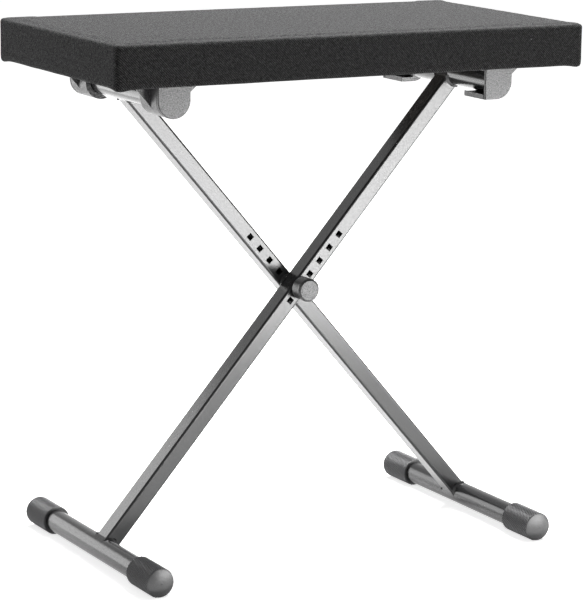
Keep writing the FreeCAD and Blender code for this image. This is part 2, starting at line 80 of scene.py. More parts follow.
lens = bpy.data.cameras.new("photo_lens")
lens.sensor_width = 36
lens.lens = FOCAL_PIXELS / max(IMAGE_SIZE) * lens.sensor_width
lens.shift_x = (IMAGE_SIZE[0] / 2 - PRINCIPAL_POINT[0]) / max(IMAGE_SIZE)
lens.shift_y = (PRINCIPAL_POINT[1] - IMAGE_SIZE[1] / 2) / max(IMAGE_SIZE)
camera = bpy.data.objects.new("photo_camera", lens)
camera.matrix_world = Matrix.Translation(CAMERA_PLACE) @ Matrix(
    (right, up, -look)).transposed().to_4x4()
bpy.context.scene.collection.objects.link(camera)
bpy.context.scene.camera = camera
bpy.context.scene.view_settings.view_transform = "Standard"
print("lens %.1f mm, shift %.4f %.4f" % (lens.lens, lens.shift_x, lens.shift_y))

# %% [markdown]
# ## Building materials from nodes
#
# Every finish here is procedural. Two small helpers keep the node code readable: one adds a
# node with its settings, and one links a list of sockets.

# %% Node helpers
def add(tree, kind, **settings):
    """A new shader node; a key that names an input sets its value."""
    node = tree.nodes.new("ShaderNode" + kind)
    for key, value in settings.items():
        words = key.replace("_", " ")
        match = [s for s in node.inputs if s.name.lower() == words]
        if match:
            match[0].default_value = value
        else:
            setattr(node, key, value)
    return node


def join(tree, *pairs):
    """Links between sockets, each given as an output and the input that it feeds."""
    for out_socket, in_socket in pairs:
        tree.links.new(out_socket, in_socket)


def maths(tree, operation, a, b=None, clamp=False):
    """A Math node on sockets or plain numbers; gives its output socket."""
    node = tree.nodes.new("ShaderNodeMath")
    node.operation = operation
    node.use_clamp = clamp
    for i, item in enumerate((a, b)):
        if item is None:
            continue
        if isinstance(item, (int, float)):
            node.inputs[i].default_value = item
        else:
            tree.links.new(item, node.inputs[i])
    return node.outputs[0]


def new_group(name, inputs, outputs):
    """An empty node group with its sockets; gives the tree, its inputs and its outputs."""
    tree = bpy.data.node_groups.new(name, "ShaderNodeTree")
    for side, sockets in (("INPUT", inputs), ("OUTPUT", outputs)):
        for label, kind, value in sockets:
            socket = tree.interface.new_socket(
                label, in_out=side, socket_type="NodeSocket" + kind)
            if value is not None:
                socket.default_value = value
    return tree, tree.nodes.new("NodeGroupInput"), tree.nodes.new("NodeGroupOutput")


def place(tree, group, **values):
    """A node group placed in a material, with its own values."""
    node = tree.nodes.new("ShaderNodeGroup")
    node.node_tree = group
    for key, value in values.items():
        node.inputs[key.replace("_", " ")].default_value = value
    return node


# %% [markdown]
# ### Effects that several finishes share
#
# Moulded plastic, rubber and lacquer all have a fine skin: grain in the mould, or the faint
# waviness of sprayed paint. One group makes it from two noises, with the size and strength
# left to each finish. A second group scatters pale specks of dust and lint.

# %% Fine skin group
skin, skin_in, skin_out = new_group(
    "fine_skin",
    [("Grain", "Float", 900.0), ("Patches", "Float", 14.0)],
    [("Height", "Float", None), ("Tone", "Float", None)])
skin_place = add(skin, "TexCoord")
skin_grain = add(skin, "TexNoise", detail=3.0, roughness=0.6)
skin_patch = add(skin, "TexNoise", detail=2.0, roughness=0.5)
join(skin,
     (skin_place.outputs["Object"], skin_grain.inputs["Vector"]),
     (skin_in.outputs["Grain"], skin_grain.inputs["Scale"]),
     (skin_place.outputs["Object"], skin_patch.inputs["Vector"]),
     (skin_in.outputs["Patches"], skin_patch.inputs["Scale"]),
     (skin_grain.outputs["Fac"], skin_out.inputs["Height"]),
     (skin_patch.outputs["Fac"], skin_out.inputs["Tone"]))
print("group:", skin.name)

# %% Dust speck group
specks, specks_in, specks_out = new_group(
    "dust_specks",
    [("Scale", "Float", 260.0), ("Share", "Float", 0.03)],
    [("Mask", "Float", None)])
speck_place = add(specks, "TexCoord")
speck_cells = add(specks, "TexVoronoi", feature="F1")
speck_size = maths(specks, "LESS_THAN", speck_cells.outputs["Distance"], 0.22)
speck_pick = add(specks, "SeparateColor")
speck_chosen = maths(specks, "LESS_THAN", speck_pick.outputs[0], specks_in.outputs["Share"])
join(specks,
     (speck_place.outputs["Object"], speck_cells.inputs["Vector"]),
     (specks_in.outputs["Scale"], speck_cells.inputs["Scale"]),
     (speck_cells.outputs["Color"], speck_pick.inputs[0]),
     (maths(specks, "MULTIPLY", speck_size, speck_chosen), specks_out.inputs["Mask"]))
print("group:", specks.name)

# %% [markdown]
# ### Lacquered steel
#
# The tubes are sprayed with a dark gloss lacquer. What shows on them is mostly what they
# mirror, so the colour is nearly black, the roughness is low and uneven, and a very weak
# bump stands for the orange peel of the paint. The same recipe, with other numbers, gives the
# rubber of the caps, the moulded plastic and the zinc of the fasteners.

# %% Lacquer, rubber, plastic and zinc
def solid_finish(name, color, rough, rough_spread, grain, bump, metallic=0.0, dust=0.0,
                 patches=14.0, tone_spread=0.15, sparkle=0.15, edge=0.0, painted_light_layer=None):
    """A hard or rubbery finish with a fine skin, uneven gloss and a little dust.

    Sparkle is how far the grain varies the strength of the reflection. An edge is the radius
    by which sharp corners look rounded. A painted light layer names a colour attribute that
    paints highlights on raised points and paints shade into grooves.
    """
    material = bpy.data.materials.new(name)
    material.use_nodes = True
    tree = material.node_tree
    shader = tree.nodes["Principled BSDF"]
    shader.inputs["Metallic"].default_value = metallic
    surface = place(tree, skin, Grain=grain, Patches=patches)
    tone = add(tree, "MapRange", to_min=1 - tone_spread, to_max=1 + tone_spread)
    base = add(tree, "Mix", data_type="RGBA", blend_type="MULTIPLY")
    base.inputs["Factor"].default_value = 1.0
    base.inputs["A"].default_value = (*color, 1)
    lint = place(tree, specks, Share=dust)
    # Painted light: a colour attribute, where given, multiplies in painted highlights and
    # painted shade
    painted_light_mix = add(tree, "Mix", data_type="RGBA", blend_type="MULTIPLY")
    painted_light_mix.inputs["Factor"].default_value = 1.0
    painted_light_mix.inputs["B"].default_value = (1, 1, 1, 1)
    if painted_light_layer:
        layer = add(tree, "Attribute", attribute_name=painted_light_layer)
        tree.links.new(layer.outputs["Color"], painted_light_mix.inputs["B"])
    dusty = add(tree, "Mix", data_type="RGBA")
    dusty.inputs["B"].default_value = (0.4, 0.4, 0.4, 1)
    gloss = add(tree, "MapRange", to_min=rough - rough_spread, to_max=rough + rough_spread)
    grainy = add(tree, "MapRange", from_min=0.32, from_max=0.68,
                 to_min=0.5 - sparkle, to_max=0.5 + sparkle)
    relief = add(tree, "Bump", strength=1.0, distance=bump)
    if edge:
        rounding = add(tree, "Bevel", samples=8, radius=edge)
        tree.links.new(rounding.outputs["Normal"], relief.inputs["Normal"])
    join(tree,
         (surface.outputs["Height"], grainy.inputs["Value"]),
         (grainy.outputs["Result"], shader.inputs["Specular IOR Level"]),
         (surface.outputs["Tone"], tone.inputs["Value"]),
         (tone.outputs["Result"], base.inputs["B"]),
         (base.outputs["Result"], painted_light_mix.inputs["A"]),
         (painted_light_mix.outputs["Result"], dusty.inputs["A"]),
         (lint.outputs["Mask"], dusty.inputs["Factor"]),
         (dusty.outputs["Result"], shader.inputs["Base Color"]),
         (surface.outputs["Tone"], gloss.inputs["Value"]),
         (gloss.outputs["Result"], shader.inputs["Roughness"]),
         (surface.outputs["Height"], relief.inputs["Height"]),
         (relief.outputs["Normal"], shader.inputs["Normal"]))
    return material


lacquer = solid_finish("lacquered_steel", (0.030, 0.030, 0.031), 0.19, 0.03, 700.0, 0.00006,
                       dust=0.003)
# The caps' colour attribute paints highlights on the knurl peaks and shade in its grooves
grip_rubber = solid_finish("grip_rubber", (0.030, 0.030, 0.031), 0.40, 0.06, 1500.0, 0.00004,
                           dust=0.004, painted_light_layer="painted_knurl_light")
moulding = solid_finish("moulded_plastic", (0.040, 0.040, 0.041), 0.42, 0.05, 700.0, 0.00016,
                        dust=0.002, sparkle=0.38, edge=0.0008)
zinc = solid_finish("plated_steel", (0.62, 0.62, 0.60), 0.30, 0.08, 500.0, 0.00001,
                    metallic=1.0)
print("finishes:", [m.name for m in (lacquer, grip_rubber, moulding, zinc)])

# %% [markdown]
# ### Plywood
#
# The seat board shows only from below. The upper legs mirror it as black, so it is plywood
# with a black stain. Its grain runs along the seat: a noise stretched along X gives the
# fibres, and a slower one the broad figure that still shows through the stain.

# %% Plywood
def plywood():
    material = bpy.data.materials.new("seat_plywood")
    material.use_nodes = True
    tree = material.node_tree
    shader = tree.nodes["Principled BSDF"]
    where = add(tree, "TexCoord")
    stretch = add(tree, "Mapping", scale=(6.0, 110.0, 110.0))
    fibres = add(tree, "TexNoise", scale=3.0, detail=6.0, roughness=0.65)
    wide = add(tree, "Mapping", scale=(1.2, 14.0, 14.0))
    figure = add(tree, "TexNoise", scale=2.0, detail=2.0, distortion=0.6)
    ramp = add(tree, "ValToRGB")
    ramp.color_ramp.elements[0].position = 0.3
    ramp.color_ramp.elements[0].color = (0.022, 0.018, 0.015, 1)
    ramp.color_ramp.elements[1].position = 0.72
    ramp.color_ramp.elements[1].color = (0.085, 0.072, 0.060, 1)
    both = maths(tree, "ADD", maths(tree, "MULTIPLY", fibres.outputs["Fac"], 0.55),
                 maths(tree, "MULTIPLY", figure.outputs["Fac"], 0.45))
    relief = add(tree, "Bump", strength=0.6, distance=0.0002)
    shader.inputs["Roughness"].default_value = 0.7
    join(tree,
         (where.outputs["Object"], stretch.inputs["Vector"]),
         (stretch.outputs["Vector"], fibres.inputs["Vector"]),
         (where.outputs["Object"], wide.inputs["Vector"]),
         (wide.outputs["Vector"], figure.inputs["Vector"]),
         (both, ramp.inputs["Fac"]),
         (ramp.outputs["Color"], shader.inputs["Base Color"]),
         (fibres.outputs["Fac"], relief.inputs["Height"]),
         (relief.outputs["Normal"], shader.inputs["Normal"]))
    return material


board_wood = plywood()
print("finish:", board_wood.name)

# %% [markdown]
# ### Woven cover
#
# The cover is a coarse black twill: its yarns float over two and under two, one step on in
# each row, which draws fine slanting lines down to the right. The weave reads a UV map in
# metres that is laid flat on each side of the cushion, so that the yarns keep their size.
# The group gives the height of the yarns, a tone that differs from yarn to yarn, and a mask
# of pale fibres.

# %% Twill group
YARN, REPEAT = 0.00066, 4.0
YARN_SHARE, WEFT_SHARE, FLOAT_LIFT, FUZZ_SHARE = 0.4, 0.8, 0.6, 0.35
FIBRE_BASE, FIBRE_SPREAD, FIBRE_LIMIT = 0.82, 0.3, 0.735

twill, twill_in, twill_out = new_group(
    "twill",
    [("Vector", "Vector", None), ("Yarn", "Float", YARN)],
    [("Height", "Float", None), ("Tone", "Float", None), ("Fibre", "Float", None)])
waver = add(twill, "TexNoise", scale=230.0, detail=1.0)
waver_shift = add(twill, "VectorMath", operation="SCALE")
waver_shift.inputs["Scale"].default_value = 0.0009
wavered = add(twill, "VectorMath", operation="ADD")
axes = add(twill, "SeparateXYZ")
join(twill,
     (twill_in.outputs["Vector"], waver.inputs["Vector"]),
     (waver.outputs["Color"], waver_shift.inputs[0]),
     (twill_in.outputs["Vector"], wavered.inputs[0]),
     (waver_shift.outputs["Vector"], wavered.inputs[1]),
     (wavered.outputs["Vector"], axes.inputs[0]))
across = maths(twill, "DIVIDE", axes.outputs["X"], twill_in.outputs["Yarn"])
along = maths(twill, "DIVIDE", axes.outputs["Y"], twill_in.outputs["Yarn"])
warp_round = maths(twill, "ABSOLUTE", maths(twill, "SINE", maths(
    twill, "MULTIPLY", across, math.pi)))
weft_round = maths(twill, "ABSOLUTE", maths(twill, "SINE", maths(
    twill, "MULTIPLY", along, math.pi)))
step_sum = maths(twill, "ADD", maths(twill, "FLOOR", across), maths(twill, "FLOOR", along))
turn = maths(twill, "FLOORED_MODULO", step_sum, REPEAT)
warp_up = maths(twill, "LESS_THAN", turn, REPEAT / 2)
weft_up = maths(twill, "SUBTRACT", 1.0, warp_up)
slope = maths(twill, "SINE", maths(twill, "MULTIPLY", maths(
    twill, "ADD", across, along), math.pi / 2))
lift = maths(twill, "MULTIPLY", maths(twill, "ADD", slope, 1.0), FLOAT_LIFT)
yarns = maths(twill, "ADD", maths(twill, "MULTIPLY", warp_round, warp_up),
              maths(twill, "MULTIPLY", weft_round,
                    maths(twill, "MULTIPLY", weft_up, WEFT_SHARE)))
fuzz = add(twill, "TexNoise", scale=2600.0, detail=2.0)
join(twill, (twill_in.outputs["Vector"], fuzz.inputs["Vector"]))
height = maths(twill, "ADD", maths(twill, "MULTIPLY", yarns, YARN_SHARE),
               maths(twill, "ADD", lift,
                     maths(twill, "MULTIPLY", fuzz.outputs["Fac"], FUZZ_SHARE)))

# Each float of two yarns has its own tone, as spun yarn does, and yarns clump together
yarn_noise = add(twill, "TexWhiteNoise", noise_dimensions="3D")
cell = add(twill, "CombineXYZ")
join(twill,
     (maths(twill, "FLOOR", maths(twill, "DIVIDE", across, 2.0)), cell.inputs["X"]),
     (maths(twill, "FLOOR", maths(twill, "DIVIDE", along, 2.0)), cell.inputs["Y"]),
     (cell.outputs[0], yarn_noise.inputs["Vector"]))
clump = add(twill, "TexNoise", scale=330.0, detail=3.0)
join(twill, (twill_in.outputs["Vector"], clump.inputs["Vector"]))
clump_spread = add(twill, "MapRange", from_min=0.32, from_max=0.68)
join(twill, (clump.outputs["Fac"], clump_spread.inputs["Value"]))
tone = maths(twill, "MULTIPLY", maths(twill, "ADD", yarn_noise.outputs["Value"],
             clump_spread.outputs["Result"]), 0.5)
fibre_noise = add(twill, "TexNoise", scale=1400.0, detail=1.0)
join(twill, (twill_in.outputs["Vector"], fibre_noise.inputs["Vector"]))
fibre = maths(twill, "GREATER_THAN", maths(twill, "MULTIPLY", fibre_noise.outputs["Fac"],
              maths(twill, "ADD", FIBRE_BASE, maths(
                  twill, "MULTIPLY", yarn_noise.outputs["Value"], FIBRE_SPREAD))), FIBRE_LIMIT)
join(twill,
     (height, twill_out.inputs["Height"]),
     (tone, twill_out.inputs["Tone"]),
     (fibre, twill_out.inputs["Fibre"]))
print("group:", twill.name)

# %% Woven cover
SHADE_LOW, SHADE_HIGH = 0.2, 1.8
VALLEY_FROM, VALLEY_TO = 0.45, 1.45


def woven(name, dark, light, bump, sheen):
    """A cover cloth from the twill group, with painted shade in the yarn valleys and painted
    light on the yarn crests; sheen lifts it where it is seen at a slant.
    """
    material = bpy.data.materials.new(name)
    material.use_nodes = True
    tree = material.node_tree
    shader = tree.nodes["Principled BSDF"]
    uv = add(tree, "UVMap", uv_map="weave")
    cloth = place(tree, twill)
    shade = add(tree, "MapRange", to_min=SHADE_LOW, to_max=SHADE_HIGH)
    # Painted light: yarn valleys darken the base colour and the sheen, and the crests brighten
    # them
    painted_valley_shade = add(tree, "MapRange", from_min=VALLEY_FROM, from_max=VALLEY_TO,
                 to_min=SHADE_LOW, to_max=SHADE_HIGH)
    # Random yarn tone times the painted valley shade and crest light
    pale = maths(tree, "MULTIPLY", shade.outputs["Result"], painted_valley_shade.outputs["Result"])
    colour = add(tree, "Mix", data_type="RGBA", blend_type="MULTIPLY")
    colour.inputs["Factor"].default_value = 1.0
    colour.inputs["A"].default_value = (*dark, 1)
    flecks = add(tree, "Mix", data_type="RGBA")
    flecks.inputs["B"].default_value = (*light, 1)
    lint = place(tree, specks, Share=0.0012)
    linty = add(tree, "Mix", data_type="RGBA")
    linty.inputs["B"].default_value = (0.5, 0.5, 0.5, 1)
    relief = add(tree, "Bump", strength=0.7, distance=bump)
    shader.inputs["Roughness"].default_value = 0.9
    shader.inputs["Specular IOR Level"].default_value = 0.10
    shader.inputs["Sheen Roughness"].default_value = 0.26
    shader.inputs["Sheen Tint"].default_value = (0.9, 0.9, 0.92, 1)
    join(tree,
         (uv.outputs["UV"], cloth.inputs["Vector"]),
         (cloth.outputs["Tone"], shade.inputs["Value"]),
         (cloth.outputs["Height"], painted_valley_shade.inputs["Value"]),
         (pale, colour.inputs["B"]),
         (maths(tree, "MULTIPLY", pale, sheen, clamp=True), shader.inputs["Sheen Weight"]),
         (colour.outputs["Result"], flecks.inputs["A"]),
         (cloth.outputs["Fibre"], flecks.inputs["Factor"]),
         (flecks.outputs["Result"], linty.inputs["A"]),
         (lint.outputs["Mask"], linty.inputs["Factor"]),
         (linty.outputs["Result"], shader.inputs["Base Color"]),
         (cloth.outputs["Height"], relief.inputs["Height"]),
         (relief.outputs["Normal"], shader.inputs["Normal"]))
    return material


cover_cloth = woven("woven_cover", (0.042, 0.042, 0.042), (0.22, 0.22, 0.22), 0.0003, 0.25)
print("finish:", cover_cloth.name)

# %% [markdown]
# ## Dress the CAD pieces
#
# The tubes, brackets and fasteners are already the right shape, so they only take their
# finish. The moulding's finish rounds the look of its sharp edges, so that they catch the
# light as real ones do. The CAD foam, cover and caps take one too, but they give way to the
# pieces below.

# %% Give each CAD node its finish
FINISH_OF_SLOT = {
    "lacquered_steel": lacquer, "grip_rubber": grip_rubber, "moulded_plastic": moulding,
    "plated_steel": zinc, "board_wood": board_wood, "foam": board_wood,
    "woven_cover": cover_cloth,
}
for part in frame["record"]["subparts"]:
    piece = nodes[part["node"]]
    for socket in piece.material_slots:
        socket.material = FINISH_OF_SLOT[part["material_slot"]]

# %% [markdown]
# ## Grip caps
#
# The caps are rubber sleeves with a diamond knurl, as on a file handle: two sets of spiral
# grooves cross and leave small pyramids. A grid of points round the sleeve whose heights
# alternate like a chess board makes exactly that, when every square is split between its
# two low corners. A colour attribute paints highlights on the peaks and paints shade into the
# grooves, for the rubber's finish. The end is a smooth shallow dome, and the lowest points
# are cut flat where they stand on the floor.

# %% Build the grip caps
KNURL_COUNT, KNURL_ROWS, KNURL_DEPTH = 34, 16, 0.0008
# Colour factors: painted shade in the knurl grooves, painted highlight on the peaks
GROOVE_PAINTED_SHADE, PEAK_PAINTED_HIGHLIGHT = 0.15, 4.0
CAP_RADIUS, SLEEVE_LENGTH, CAP_END, CAP_EDGE, CAP_DOME = 0.0163, 0.050, 0.004, 0.0012, 0.0030
DOME_MIDDLE, KNURL_GAP, LIP_LENGTH = 0.0006, 0.0004, 0.0008
BORE_RADIUS = 0.0128
DOME_SHARES = (0.05, 0.06, 0.3, 0.55, 0.75, 0.9, 1)
EDGE_SHARES = (0.4, 0.8, 1.0)
# Radius of each ring of the open end, and its distance from the end of the knurl
LIP_RINGS = ((CAP_RADIUS - KNURL_DEPTH, 0.0002), (CAP_RADIUS - 0.0010, 0.0008),
             (0.0130, 0.0008), (BORE_RADIUS, -0.002))


def grip_cap(name, node, body):
    """A knurled cap on the axis of its CAD node, open towards the leg."""
    low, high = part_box(node)
    x, z = (low[0] + high[0]) / 2, high[2] - CAP_RADIUS
    front = high[1] < 0
    end = low[1] if front else high[1]
    inward = 1 if front else -1
    around = KNURL_COUNT * 2
    mesh = bmesh.new()
    painted_knurl_light = mesh.verts.layers.float_color.new("painted_knurl_light")

    def ring(radius, distance, heights=None):
        """Points round the axis, at a distance from the cap's outer end."""
        spots = []
        for i in range(around):
            r = radius + (heights[i] if heights else 0)
            angle = 2 * math.pi * i / around
            height = max(z + r * math.sin(angle), 0)
            spots.append(mesh.verts.new(
                (x + r * math.cos(angle), end + inward * distance, height)))
            # Painted light: grooves take painted shade, peaks a painted highlight
            tone = 1.0
            if heights:
                tone = GROOVE_PAINTED_SHADE if heights[i] else PEAK_PAINTED_HIGHLIGHT
            spots[-1][painted_knurl_light] = (tone, tone, tone, 1)
        return spots

    def band(first, second, split=None):
        """Faces between two rings; a split row is cut into triangles, turn about."""
        for i in range(around):
            k = (i + 1) % around
            a, b, c, d = first[i], first[k], second[k], second[i]
            if split is None:
                mesh.faces.new((a, b, c, d))
            elif (i + split) % 2 == 0:
                mesh.faces.new((a, b, d))
                mesh.faces.new((b, c, d))
            else:
                mesh.faces.new((a, b, c))
                mesh.faces.new((a, c, d))

    # Domed end, from its middle to the edge
    disc = CAP_RADIUS - CAP_EDGE
    rings = [ring(disc * share, CAP_DOME * share ** 2) for share in DOME_SHARES]
    middle = mesh.verts.new((x, end + inward * DOME_MIDDLE, z))
    middle[painted_knurl_light] = (1, 1, 1, 1)
    for i in range(around):
        mesh.faces.new((middle, rings[0][(i + 1) % around], rings[0][i]))
    for share in EDGE_SHARES:
        turn_angle = share * math.pi / 2
        rings.append(ring(disc + CAP_EDGE * math.sin(turn_angle) - KNURL_DEPTH * share,
                          CAP_DOME + CAP_EDGE * (1 - math.cos(turn_angle))))
    for first, second in zip(rings, rings[1:]):
        band(first, second)
    # Knurled sleeve
    start = CAP_DOME + CAP_EDGE + KNURL_GAP
    step = (SLEEVE_LENGTH + CAP_END - start - LIP_LENGTH) / (KNURL_ROWS * 2)
    previous = rings[-1]
    for row in range(KNURL_ROWS * 2 + 1):
        heights = [0 if (i + row) % 2 == 0 else -KNURL_DEPTH for i in range(around)]
        current = ring(CAP_RADIUS, start + row * step, heights)
        band(previous, current, split=row if row else None)
        previous = current
    # Plain lip and the open end round the tube
    for radius, distance in LIP_RINGS:
        current = ring(radius, SLEEVE_LENGTH + CAP_END - LIP_LENGTH + distance)
        band(previous, current)
        previous = current
    inner_end = ring(BORE_RADIUS, CAP_END)
    band(previous, inner_end)
    mesh.faces.new(inner_end)
    bmesh.ops.recalc_face_normals(mesh, faces=mesh.faces)
    data = bpy.data.meshes.new(name)
    mesh.to_mesh(data)
    mesh.free()
    cap = bpy.data.objects.new(name, data)
    bpy.context.scene.collection.objects.link(cap)
    data.materials.append(grip_rubber)
    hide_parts(node)
    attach(cap, body)
    return cap


for side, body in (("left", "front_frame"), ("right", "rear_frame")):
    for where in ("front", "rear"):
        cap = grip_cap("knurled_%s_%s_cap" % (side, where),
                       "%s_%s_foot_cap" % (side, where), body)
        print(cap.name, "faces:", len(cap.data.polygons))

# %% [markdown]
# ## The seat cushion
#
# A foam block lies on a board, and the cover is drawn over both and turned under the board,
# where it is stapled. The pull of the cover rounds the top edges and leaves the long sides
# almost flat, with a slight swell. It starts as a closed box of even squares, a little wider
# than the plain cover that it replaces, because its upright corners are rounded. A short
# cloth simulation under a little pressure gives the swell and the small unevenness that makes
# it look upholstered. The seams and the hem are added afterwards, because they are finer than
# the simulation's squares.

# %% Cushion blank
seat_low, seat_high = (Vector(c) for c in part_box("seat_cover"))
seat_middle = (seat_low + seat_high) / 2
SQUARE = 0.0055
CORNER, TOP_EDGE, LOW_EDGE = 0.0075, 0.0020, 0.0042
CROWN, CROWN_FALL = 0.0006, 0.3
PROUD = 0.0024


def cushion_blank():
    """A closed box of even squares whose edges are rounded and whose top is crowned."""
    half = (seat_high - seat_low) / 2 - Vector((-PROUD, -PROUD, 0))
    counts = [max(2, round(2 * side / SQUARE)) for side in half]
    mesh = bmesh.new()
    bmesh.ops.create_cube(mesh, size=2)
    for axis in range(3):
        for i in range(1, counts[axis]):
            normal = Vector((0, 0, 0))
            normal[axis] = 1
            spot = normal * (-1 + 2 * i / counts[axis])
            bmesh.ops.bisect_plane(
                mesh, geom=mesh.verts[:] + mesh.edges[:] + mesh.faces[:],
                plane_co=spot, plane_no=normal)
    for vert in mesh.verts:
        p = Vector(vert.co[i] * half[i] for i in range(3))
        # Upright corners first, then the long edges
        inner = Vector((half.x - CORNER, half.y - CORNER))
        dx, dy = abs(p.x) - inner.x, abs(p.y) - inner.y
        if dx > 0 and dy > 0:
            scale = max(dx, dy) / math.hypot(dx, dy)
            p.x = math.copysign(inner.x + dx * scale, p.x)
            p.y = math.copysign(inner.y + dy * scale, p.y)
        edge = TOP_EDGE if p.z > 0 else LOW_EDGE
        reach = edge_reach(p, half)
        dz = abs(p.z) - (half.z - edge)
        if dz > 0 and reach < edge:
            out = edge - reach
            scale = max(dz, out) / math.hypot(dz, out)
            shift = out - out * scale
            toward = Vector((p.x, p.y, 0)) - Vector((
                math.copysign(min(abs(p.x), inner.x), p.x),
                math.copysign(min(abs(p.y), inner.y), p.y), 0))
            if toward.length < 1e-6:
                toward = Vector((p.x, 0, 0)) if half.x - abs(p.x) < half.y - abs(p.y) \
                    else Vector((0, p.y, 0))
            p -= toward.normalized() * shift
            p.z = math.copysign(half.z - edge + dz * scale, p.z)
        if p.z > 0:
            wide = max(0, 1 - (p.x / half.x) ** 2) * max(0, 1 - (p.y / half.y) ** 2)
            p.z -= CROWN * (1 - wide ** CROWN_FALL) * min(1, p.z / half.z)
        vert.co = p + seat_middle
    return mesh


def edge_reach(point, half):
    """How far a point lies inside the rounded outline of the seat."""
    dx = abs(point.x) - (half.x - CORNER)
    dy = abs(point.y) - (half.y - CORNER)
    if dx > 0 and dy > 0:
        return CORNER - math.hypot(dx, dy)
    return min(half.x - abs(point.x), half.y - abs(point.y))


blank = cushion_blank()
print("blank:", len(blank.verts), "points")

# %% [markdown]
# The simulation starts from this blank. Its squares are already even, so it goes to Cloth as
# it is, with a little pressure and no gravity. The board holds the underside and the lowest
# 12 mm of the sides, so those points are pinned, and the hold fades over the next centimetre.
# Only the outward part of each point's move is kept, and at most 1.6 mm of it, because the
# foam fills the cover.

# %% Simulate the cover
PRESSURE, FRAMES, MOVE_CAP = 4.0, 20, 0.0016
PIN_HEIGHT, PIN_FADE = 0.012, 0.010


def pull_cover(mesh):
    data = bpy.data.meshes.new("seat_cover_cloth")
    mesh.normal_update()
    mesh.to_mesh(data)
    mesh.free()
    cover = bpy.data.objects.new("seat_cover_cloth", data)
    bpy.context.scene.collection.objects.link(cover)
    start = np.empty(len(data.vertices) * 3)
    data.vertices.foreach_get("co", start)
    start = start.reshape(-1, 3)
    held = cover.vertex_groups.new(name="held_by_board")
    for i, spot in enumerate(start):
        above = spot[2] - (seat_low.z + PIN_HEIGHT)
        if above < PIN_FADE:
            held.add([i], min(1.0, 1.0 - above / PIN_FADE), "REPLACE")
    cloth = cover.modifiers.new("pull", "CLOTH")
    settings = cloth.settings
    settings.quality = 6
    settings.mass = 0.25
    settings.tension_stiffness = settings.compression_stiffness = 30
    settings.shear_stiffness = 15
    settings.bending_stiffness = 2.5
    settings.use_pressure = True
    settings.uniform_pressure_force = PRESSURE
    settings.effector_weights.gravity = 0
    settings.vertex_group_mass = "held_by_board"
    cloth.collision_settings.use_collision = False
    cloth.point_cache.frame_start, cloth.point_cache.frame_end = 1, FRAMES
    scene = bpy.context.scene
    for number in range(1, FRAMES + 1):
        scene.frame_set(number)
    seen = cover.evaluated_get(bpy.context.evaluated_depsgraph_get())
    swollen = np.empty(len(seen.data.vertices) * 3)
    seen.data.vertices.foreach_get("co", swollen)
    swollen = swollen.reshape(-1, 3)
    cover.modifiers.remove(cloth)
    scene.frame_set(1)
    outward = np.empty(len(data.vertices) * 3)
    data.vertices.foreach_get("normal", outward)
    outward = outward.reshape(-1, 3)
    swell = np.maximum(0, ((swollen - start) * outward).sum(axis=1))
    move = outward * swell[:, None]
    length = np.linalg.norm(move, axis=1)
    print("cloth moved up to %.1f mm, %.2f mm on average" % (
        length.max() * 1000, length.mean() * 1000))
    move *= np.minimum(1, MOVE_CAP / np.maximum(length, 1e-9))[:, None]
    data.vertices.foreach_set("co", (start + move).ravel())
    data.update()
    return cover


cover = pull_cover(blank)
print("cover:", len(cover.data.vertices), "points")

# %% [markdown]
# Now the fine work. One subdivision smooths the simulated cover. The middle of the underside
# is cut away, so that the hem ends in an edge on the board. The points near each upright
# corner sink into a narrow valley, which is the sewn seam. The lower edge hangs a little lower
# at the corners, where the cloth is gathered, and wavers along the sides.

# %% Seams and hem
HEM, CLOTH_THICKNESS, EDGE_LINE = 0.025, 0.0012, 0.0004
SEAM_DEPTH, SEAM_WIDTH, SEAM_REACH = 0.0011, 0.0016, 0.012
SEAM_LINES = (-1.0, -0.5, 0.0, 0.5, 1.0)
LIP_WIDTH, LIP_SHARE, UPRIGHT_LIMIT = 4, 0.35, 0.75
UNDERSIDE_SLACK, SMOOTHING, MERGE_DISTANCE = 0.0008, 0.6, 0.00002
GATHER_DROP, GATHER_SPREAD, LOW_BAND, SIDE_BAND = 0.0022, 0.014, 0.012, 0.010
WAVER_DROP, WAVER_PITCH, WAVER_LEVEL = 0.0004, 22, 3.0


def sew_corner(mesh, side_x, side_y, half):
    """Cut fine lines along one upright corner and sink them; the cloth beside them rises."""
    corner = Vector((seat_middle.x + side_x * half.x, seat_middle.y + side_y * half.y, 0))
    across = Vector((side_x, -side_y, 0)).normalized()
    for step in SEAM_LINES:
        near = [f for f in mesh.faces
                if (f.calc_center_median().xy - corner.xy).length < SEAM_REACH
                and abs(f.normal.z) < UPRIGHT_LIMIT]
        parts = {e for f in near for e in f.edges} | {v for f in near for v in f.verts}
        bmesh.ops.bisect_plane(mesh, geom=near + list(parts),
                               plane_co=corner + across * SEAM_WIDTH * step, plane_no=across)
    inward = Vector((-side_x, -side_y, 0)).normalized()
    for vert in mesh.verts:
        offset = Vector((vert.co.x, vert.co.y, 0)) - corner
        if offset.length > SEAM_REACH or vert.co.z > seat_high.z - TOP_EDGE:
            continue
        aside = offset.dot(across) / SEAM_WIDTH
        if abs(aside) < 0.99:
            vert.co += inward * SEAM_DEPTH * math.cos(aside * math.pi / 2) ** 2
        elif abs(aside) < LIP_WIDTH:
            fade = 1 - (abs(aside) - 1) / (LIP_WIDTH - 1)
            vert.co -= inward * SEAM_DEPTH * LIP_SHARE * fade


